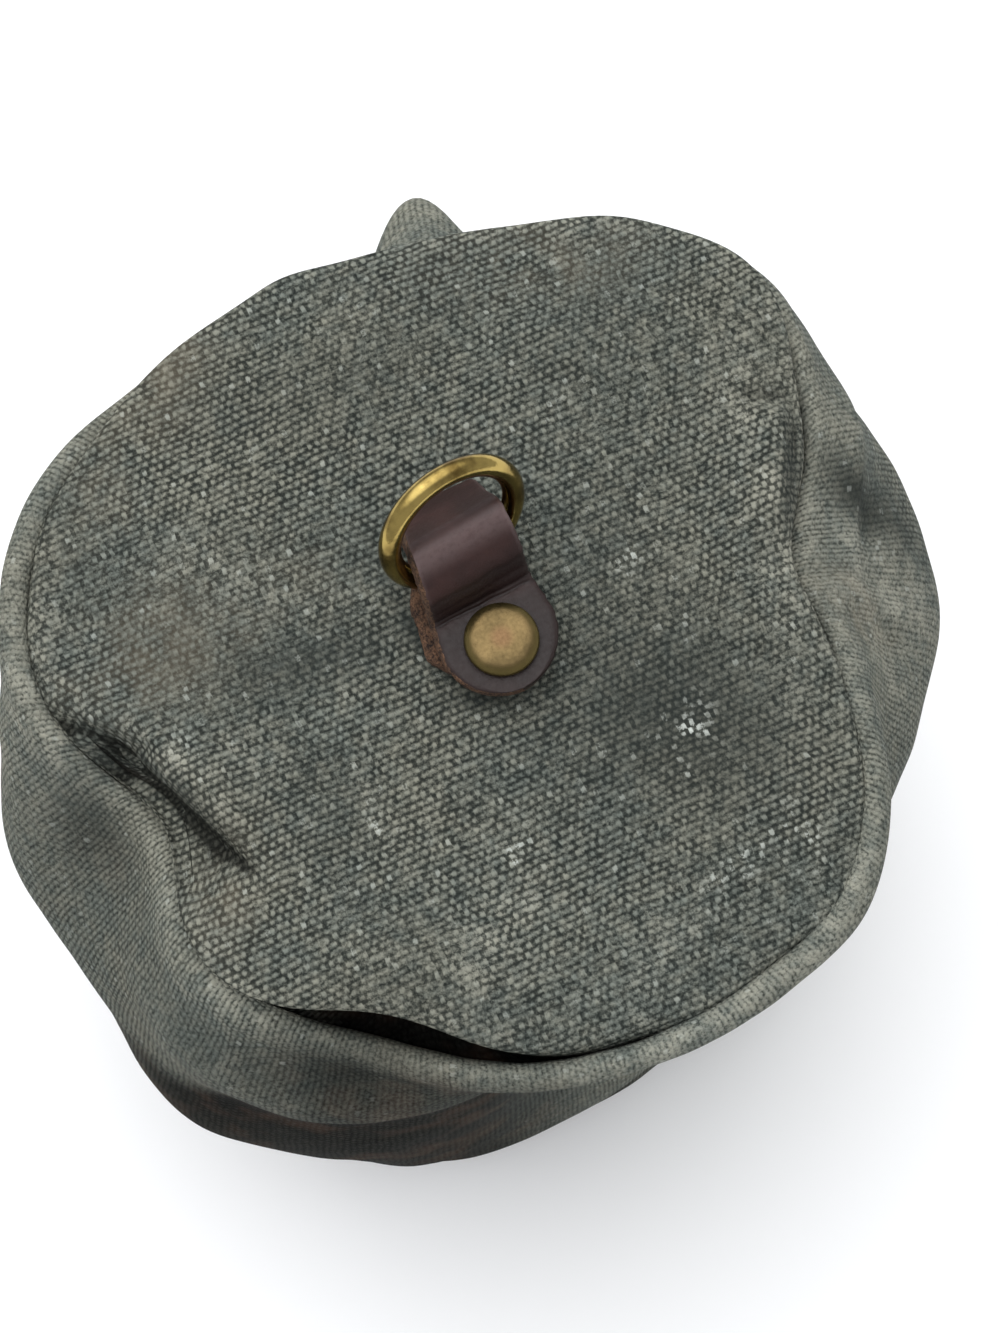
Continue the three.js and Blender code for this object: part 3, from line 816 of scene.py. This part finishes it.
def side_wall(canvas):
    """The tube of canvas, rolled at the base into the fat rim, with a turned hem at the mouth."""
    seam_radius = BASE_RADIUS - 0.1
    rim_radius = BASE_RADIUS + RIM_WIDTH
    inside = WALL_RADIUS - CANVAS
    hem = MOUTH_RADIUS - HEM_THICKNESS
    rim = [
        [seam_radius, SEAM_DEPTH],
        [seam_radius, 4.8],
        [seam_radius + 0.2, 3.4],
        [seam_radius + 0.7, 1.9],
        [seam_radius + 1.9, 1.0],
        [rim_radius - 0.7, 1.9],
        [rim_radius, 4],
        [rim_radius - 0.3, 7.5],
        [rim_radius - 1.2, 12],
    ]
    wall = [[WALL_RADIUS, depth] for depth in (18, 36, 62, 90)]
    mouth = [[MOUTH_RADIUS, BASE_HEIGHT - HEM_HEIGHT], [MOUTH_RADIUS, BASE_HEIGHT - 1]]
    foot = [[MOUTH_RADIUS - 0.5, BASE_HEIGHT], [hem + 0.5, BASE_HEIGHT]]
    inner = [[hem, BASE_HEIGHT - 1], [hem, BASE_HEIGHT - HEM_HEIGHT], [inside, 95], [inside, 60]]
    inner += [[inside, 30], [inside, SEAM_DEPTH + 4], [seam_radius, SEAM_DEPTH]]
    outer = smooth_line(rim + wall + mouth, 0.9)
    section = np.vstack([outer, smooth_line(foot, 0.8), smooth_line(inner, 3.0)])
    section[:, 1] = BASE_HEIGHT - section[:, 1]
    bm = spun(section, ROUND_STEPS)
    rest = places(bm)
    way = bm.verts.layers.float["way"]
    weave = bm.loops.layers.uv.new("weave")
    for face in bm.faces:
        middle = face.calc_center_median()
        centre = math.atan2(middle.y, middle.x)
        for loop in face.loops:
            x, y, _ = loop.vert.co
            around = (math.atan2(y, x) - centre + math.pi) % (2 * math.pi) - math.pi + centre
            loop[weave].uv = (loop.vert[way] * MM, around * WALL_RADIUS * WALL_ROWS * MM)
    lies = slump_wall(rest)
    place(bm, lies)
    radius, _, bearing, depth = polar(rest)
    # Painted shade and stain on the lower wall: darker from a depth down to the mouth, strongest on one
    # side and starting deeper on part of it
    blotch = ripple(lies, 34, 5)
    darkened_side = 0.1 + 0.9 * (1 - ramp(np.abs(turn(bearing, DARKENED_BEARING)) + 5 * blotch, 16, 46))
    deeper = LOWER_DARKENED_DEEPER * (1 - ramp(turn(bearing, LOWER_DARKENED_BEARING), -8, 8))
    darkened_from = DARKENED_DEPTH + deeper + 3 * blotch
    # Painted shade in the seam's groove
    in_seam = ramp(depth, 2.4, 4.4) * (radius < BASE_RADIUS + 0.9) * (1 - quiet_seam(bearing))
    lower = ramp(depth - darkened_from, -3, 7) * darkened_side * (0.93 - 0.08 * blotch)
    # Painted shade on the rim's shelf below the gap, and lighter painted shade on the left flank
    shelf = 0.72 * (1 - ramp(np.abs(turn(bearing, SHELF_BEARING)), 10, 25)) * ramp(depth, -1.5, 6)
    left_flank = 0.22 * (1 - ramp(np.abs(turn(bearing, FLANK_BEARING)), 14, 34)) * ramp(depth, 2.5, 9)
    store(bm, "ribs", np.ones(len(rest)))
    near_seam = (1 - ramp(depth, 4, 7)) * (radius < BASE_RADIUS + RIM_CREST) * (1 - quiet_seam(bearing))
    # The painted shade and stain, taken together
    shade_and_stain = np.max([in_seam, lower, shelf, left_flank], axis=0)
    store_wear_and_shade(bm, lies, near_seam, shade_and_stain)
    bmesh.ops.translate(bm, vec=(*AXIS, 0), verts=bm.verts)
    return finish_piece("wall_canvas", bm, [canvas], "side_wall", "bag")


# Corners of the folded strap's centreline, from the rivet (y) and the base (z)
StrapCorner = namedtuple("StrapCorner", "y z soften")
LOWER_LEAF = 1.25
UPPER_LEAF = 3.45
LOWER_LEAF_AHEAD = -1.0
LOWER_LEAF_ASIDE = 1.6
STRAP_CORNERS = [
    StrapCorner(TAB_END_AHEAD - TAB_END_RADIUS - LOWER_LEAF_AHEAD, LOWER_LEAF, 0),
    StrapCorner(20.2, LOWER_LEAF, 2.6),
    StrapCorner(12.6, 12.6, 1.0),
    StrapCorner(8.6, 10.1, 2.8),
    StrapCorner(5.9, UPPER_LEAF, 1.3),
    StrapCorner(TAB_END_AHEAD - TAB_END_RADIUS, UPPER_LEAF, 0),
]

# Fine creases across the strap's upper side: distance back from its round end, depth, width
StrapCrease = namedtuple("StrapCrease", "back depth width")
STRAP_CREASES = [
    StrapCrease(11.6, 0.16, 0.3),
    StrapCrease(12.9, 0.2, 0.35),
    StrapCrease(14.6, 0.1, 0.3),
    StrapCrease(16.6, 0.07, 0.3),
]


def strap_path(step):
    """Points about a step apart along the folded strap, closer at its round ends, and the way to each."""
    corners = [np.array([corner.y, corner.z]) for corner in STRAP_CORNERS]
    line = [corners[0]]
    for i in range(1, len(corners) - 1):
        here = corners[i]
        reach = STRAP_CORNERS[i].soften
        before = corners[i - 1] - here
        after = corners[i + 1] - here
        start = here + before / np.hypot(*before) * reach
        end = here + after / np.hypot(*after) * reach
        for share in np.linspace(0, 1, 13):
            line.append((1 - share) ** 2 * start + 2 * share * (1 - share) * here + share**2 * end)
    line.append(corners[-1])
    line = np.array(line)
    lengths = np.concatenate([[0], np.cumsum(np.hypot(*np.diff(line, axis=0).T))])
    whole = lengths[-1]
    tip = TAB_END_RADIUS * (1 - np.cos(np.linspace(0, math.pi / 2, 18)))
    middle = np.linspace(tip[-1], whole - tip[-1], round((whole - 2 * tip[-1]) / step))
    way = np.concatenate([tip[:-1], middle, whole - tip[-2::-1]])
    spots = [np.interp(way, lengths, line[:, 0]), np.interp(way, lengths, line[:, 1])]
    return np.stack(spots, axis=1), way


def strap_half_width(y, lower):
    """Half width of the strap in plan, at a distance from the rivet, on its lower or upper leaf."""
    ahead = TAB_END_AHEAD - (LOWER_LEAF_AHEAD if lower else 0)
    short = TAB_END_RADIUS - math.sqrt(max(0, TAB_END_RADIUS**2 - min(0, y - ahead) ** 2))
    neck, ridge, back = TAB_NECK_WIDTH / 2, TAB_RIDGE_WIDTH / 2, TAB_BACK_WIDTH / 2
    return np.interp(y, [ahead, 6.5, 8.5, 12.6, 15], [TAB_END_RADIUS, neck, neck, ridge, back]) - short


def strap_crease(line, back, across):
    """Depth of one wavering crease at a place on the strap."""
    waver = 0.5 * noise.noise(Vector((4 * across, line.back, 0)))
    return line.depth * bell(back - line.back - waver, line.width)


def ring_tab(hide, raw_edge):
    """The leather strap, folded round the ring and laid back on itself, with raw fibrous edges."""
    face_cells, edge_cells = 20, 4
    corners = np.cumsum([0, face_cells, edge_cells, face_cells, edge_cells])
    path, way = strap_path(0.3)
    along = np.gradient(path, axis=0)
    along /= np.hypot(*along.T)[:, None]
    ridge_row = int(np.argmax(path[:, 1]))
    ridge_back = way[-1] - way[ridge_row]
    skew = math.tan(math.radians(TAB_FOLD_SKEW))
    bm = bmesh.new()
    highlight_and_wear = bm.verts.layers.float.new("highlight_and_wear")
    folded = bm.verts.layers.float.new("folded")
    bmesh.ops.create_grid(bm, x_segments=int(corners[-1]), y_segments=len(path) - 1, size=1)
    for face in bm.faces:
        column = (face.calc_center_median().x + 1) / 2 * corners[-1]
        face.material_index = 0 if corners[1] < column < corners[3] else 1
    for vert in bm.verts:
        column = round((vert.co.x + 1) / 2 * corners[-1])
        row = round((vert.co.y + 1) / 2 * (len(path) - 1))
        across = np.interp(column, corners, [-1, 1, 1, -1, -1])
        up = np.interp(column, corners, [1, 1, -1, -1, 1])
        y, z = path[row]
        lower = row < ridge_row and z < 4
        half = strap_half_width(y, row < ridge_row)
        aside = LOWER_LEAF_ASIDE * ramp(y, -1, 3) * (1 - ramp(y, 8, 13)) if lower and across < 0 else 0
        on_edge = abs(across) > 0.99
        loose = 0.18 - 0.14 * ramp(y, 9, 13)
        fray = loose * noise.noise(Vector((3 * up, 2.6 * y, across + z))) if on_edge else 0
        flare = 0.25 * (1 + up) * ramp(y, 0, 3) if across < 0 and not lower else 0
        half = max(0, half + fray + flare - (0.22 * up**4 if on_edge else 0))
        back = way[-1] - way[row]
        crease = sum(strap_crease(line, back, across) for line in STRAP_CREASES)
        thick = LEATHER / 2 - (0.18 if on_edge and abs(up) > 0.99 else 0)
        thick -= crease if up < -0.99 else 0
        curl = 0.12 * across**2 * (0 if lower else 1)
        out_y, out_z = -along[row][1], along[row][0]
        x = across * (half + aside)
        raised = ramp(z, LOWER_LEAF, 2 * UPPER_LEAF)
        vert.co = (
            x,
            y + out_y * (up * thick - curl) + raised * skew * x,
            z + out_z * (up * thick - curl),
        )
        # Painted highlight on the band in front of the ridge, and paler edges from wear
        before_ridge = back - ridge_back
        in_front = ramp(before_ridge, -3.6, -0.6) * (1 - ramp(before_ridge, -0.2, 0.2))
        vert[highlight_and_wear] = in_front + 0.4 * ramp(abs(across), 0.88, 1)
        # Painted shade in the creases and on the slope just above the bend, and darker hide on the flat
        # end
        vert[folded] = crease / 0.2 + bell(back - 14.6, 3.4) + 0.8 * (1 - ramp(back, 9, 12))
    bmesh.ops.remove_doubles(bm, verts=bm.verts, dist=1e-3)
    bmesh.ops.recalc_face_normals(bm, faces=bm.faces)
    bmesh.ops.translate(bm, vec=(*RIVET, BASE_HEIGHT), verts=bm.verts)
    return finish_piece("tab_leather", bm, [hide, raw_edge], "ring_tab", "bag")


def tab_rivet(brass):
    """The flat-domed cap over the tab, with its post and the cap inside the bag."""
    cap = CAP_DIAMETER / 2
    inside = -CANVAS - 0.3
    top = CAP_SEAT + CAP_HEIGHT
    section = [[0, inside - 1.8], [cap * 0.6, inside - 1.5], [cap, inside - 0.6], [cap, inside]]
    section += [[1.5, inside], [1.5, CAP_SEAT], [cap - 0.25, CAP_SEAT]]
    dome = [[cap, CAP_SEAT + 0.2], [cap - 0.08, CAP_SEAT + 0.55], [cap - 0.45, CAP_SEAT + 0.95]]
    dome += [[cap * 0.75, top - 0.5], [cap * 0.45, top - 0.4], [0, top - 0.36]]
    section = np.vstack([np.array(section), smooth_line(dome, 0.22)])
    bm = spun(section, CAP_STEPS)
    points = places(bm)
    store(bm, "from_middle", np.hypot(points[:, 0], points[:, 1]))
    shown = points[:, 2] > CAP_SEAT + 0.3
    points[:, 2] += (0.06 * ripple(points, 2.6, 4) + 0.025 * ripple(points, 0.8, 6)) * shown
    place(bm, points)
    bmesh.ops.translate(bm, vec=(*RIVET, BASE_HEIGHT), verts=bm.verts)
    return finish_piece("rivet_cap", bm, [brass], "tab_rivet", "bag")


def tab_ring(brass):
    """The round wire ring, leaning back with its lower half in the loop."""
    bm = bmesh.new()
    wire = bmesh.ops.create_circle(bm, segments=28, radius=RING_WIRE / 2)["verts"]
    bmesh.ops.translate(bm, vec=(RING_RADIUS, 0, 0), verts=wire)
    edges = list(bm.edges)
    bmesh.ops.spin(
        bm,
        geom=wire + edges,
        axis=(0, 1, 0),
        cent=(0, 0, 0),
        steps=120,
        angle=2 * math.pi,
        use_merge=True,
    )
    bmesh.ops.remove_doubles(bm, verts=bm.verts, dist=1e-4)
    bmesh.ops.recalc_face_normals(bm, faces=bm.faces)
    lean = Matrix.Rotation(-math.radians(RING_LEAN), 3, "X")
    bmesh.ops.translate(bm, vec=(0, 0, RING_OVER_HINGE), verts=bm.verts)
    bmesh.ops.rotate(bm, cent=(0, 0, 0), matrix=lean, verts=bm.verts)
    in_fold = Matrix.Rotation(math.radians(RING_TURN), 3, "Z")
    bmesh.ops.rotate(bm, cent=(0, 0, 0), matrix=in_fold, verts=bm.verts)
    bmesh.ops.translate(bm, vec=HINGE, verts=bm.verts)
    return finish_piece("ring_wire", bm, [brass], "tab_ring", "ring")


# The photo's view: how it looks at the base, and where the bag's axis meets the base in it
PHOTO_SIZE = (1000, 1333)
VIEW_AZIMUTH = -25
VIEW_ELEVATION = 77
VIEW_DISTANCE = 330
FOCAL_PIXELS = 2750
AXIS_PIXEL = (470, 633)

# Where the light comes from: its angle as seen in the photo, and its height over the floor
LIGHT_ANGLE = 118
LIGHT_ELEVATION = 68


def view_axes():
    """Right, up and backward directions of the photo's view."""
    azimuth, elevation = math.radians(VIEW_AZIMUTH), math.radians(VIEW_ELEVATION)
    level = math.cos(elevation)
    back = Vector((math.sin(azimuth) * level, -math.cos(azimuth) * level, math.sin(elevation)))
    right = Vector((math.cos(azimuth), math.sin(azimuth), 0))
    return right, back.cross(right), back


def photo_camera():
    """A camera at the photo's viewing angle and distance."""
    right, up, back = view_axes()
    pixel = VIEW_DISTANCE / FOCAL_PIXELS
    middle = Vector((*AXIS, BASE_HEIGHT))
    middle += right * (PHOTO_SIZE[0] / 2 - AXIS_PIXEL[0]) * pixel
    middle -= up * (PHOTO_SIZE[1] / 2 - AXIS_PIXEL[1]) * pixel
    data = bpy.data.cameras.new("photo_view")
    data.sensor_width = 36
    data.lens = data.sensor_width * FOCAL_PIXELS / PHOTO_SIZE[1]
    data.clip_start = 0.01
    camera = bpy.data.objects.new("photo_view", data)
    camera.matrix_world = Matrix.Translation((middle + back * VIEW_DISTANCE) * MM) @ Matrix(
        (right, up, back)
    ).transposed().to_4x4()
    bpy.context.scene.collection.objects.link(camera)
    bpy.context.scene.camera = camera


def light_way(image_angle, elevation):
    """Direction to a light that is given as it shows in the photo."""
    angle, rise = math.radians(image_angle + VIEW_AZIMUTH), math.radians(elevation)
    return Vector((math.cos(angle) * math.cos(rise), math.sin(angle) * math.cos(rise), math.sin(rise)))


def soft_light(name, way, distance, size, watts):
    """A soft panel light on the bag, from a direction."""
    data = bpy.data.lights.new(name, "AREA")
    data.size = size
    data.energy = watts
    light = bpy.data.objects.new(name, data)
    light.location = Vector((0, 0, 0.1)) + way * distance
    light.rotation_euler = way.to_track_quat("Z", "Y").to_euler()
    bpy.context.scene.collection.objects.link(light)


def room_light(way):
    """A dim room with a wide soft glow round one direction overhead."""
    world = bpy.data.worlds.new("room")
    world.use_nodes = True
    w = Wiring(world.node_tree)
    seen = w.add("ShaderNodeTexCoord", {}, out="Generated")
    toward = w.add("ShaderNodeVectorMath", {0: seen, 1: way}, out=1, operation="DOT_PRODUCT")
    room = world.node_tree.nodes["Background"]
    room.inputs["Color"].default_value = (0.97, 0.98, 1, 1)
    world.node_tree.links.new(w.span(toward, 0.55, 0.92, 0.6, 2.35), room.inputs["Strength"])
    bpy.context.scene.world = world


def studio():
    """A pale floor and soft light from the top of the photo."""
    bm = bmesh.new()
    bmesh.ops.create_grid(bm, x_segments=1, y_segments=1, size=3)
    mesh = bpy.data.meshes.new("floor")
    bm.to_mesh(mesh)
    bm.free()
    floor = bpy.data.objects.new("floor", mesh)
    bpy.context.scene.collection.objects.link(floor)
    pale = (0.98, 0.98, 0.98, 1)
    _, _, material = new_material("pale_floor", Base_Color=pale, Roughness=0.9, Specular_IOR_Level=0.1)
    mesh.materials.append(material)
    way = light_way(LIGHT_ANGLE, LIGHT_ELEVATION)
    soft_light("key", way, distance=2.6, size=1.6, watts=7)
    room_light(way)
    bpy.context.scene.view_settings.view_transform = "Standard"


photo_camera()
canvas = canvas_material()
base = base_panel(canvas)
wall = side_wall(canvas)
ring_tab(leather_material(), raw_edge_material())
tab_rivet(rivet_brass())
tab_ring(ring_brass())
studio()
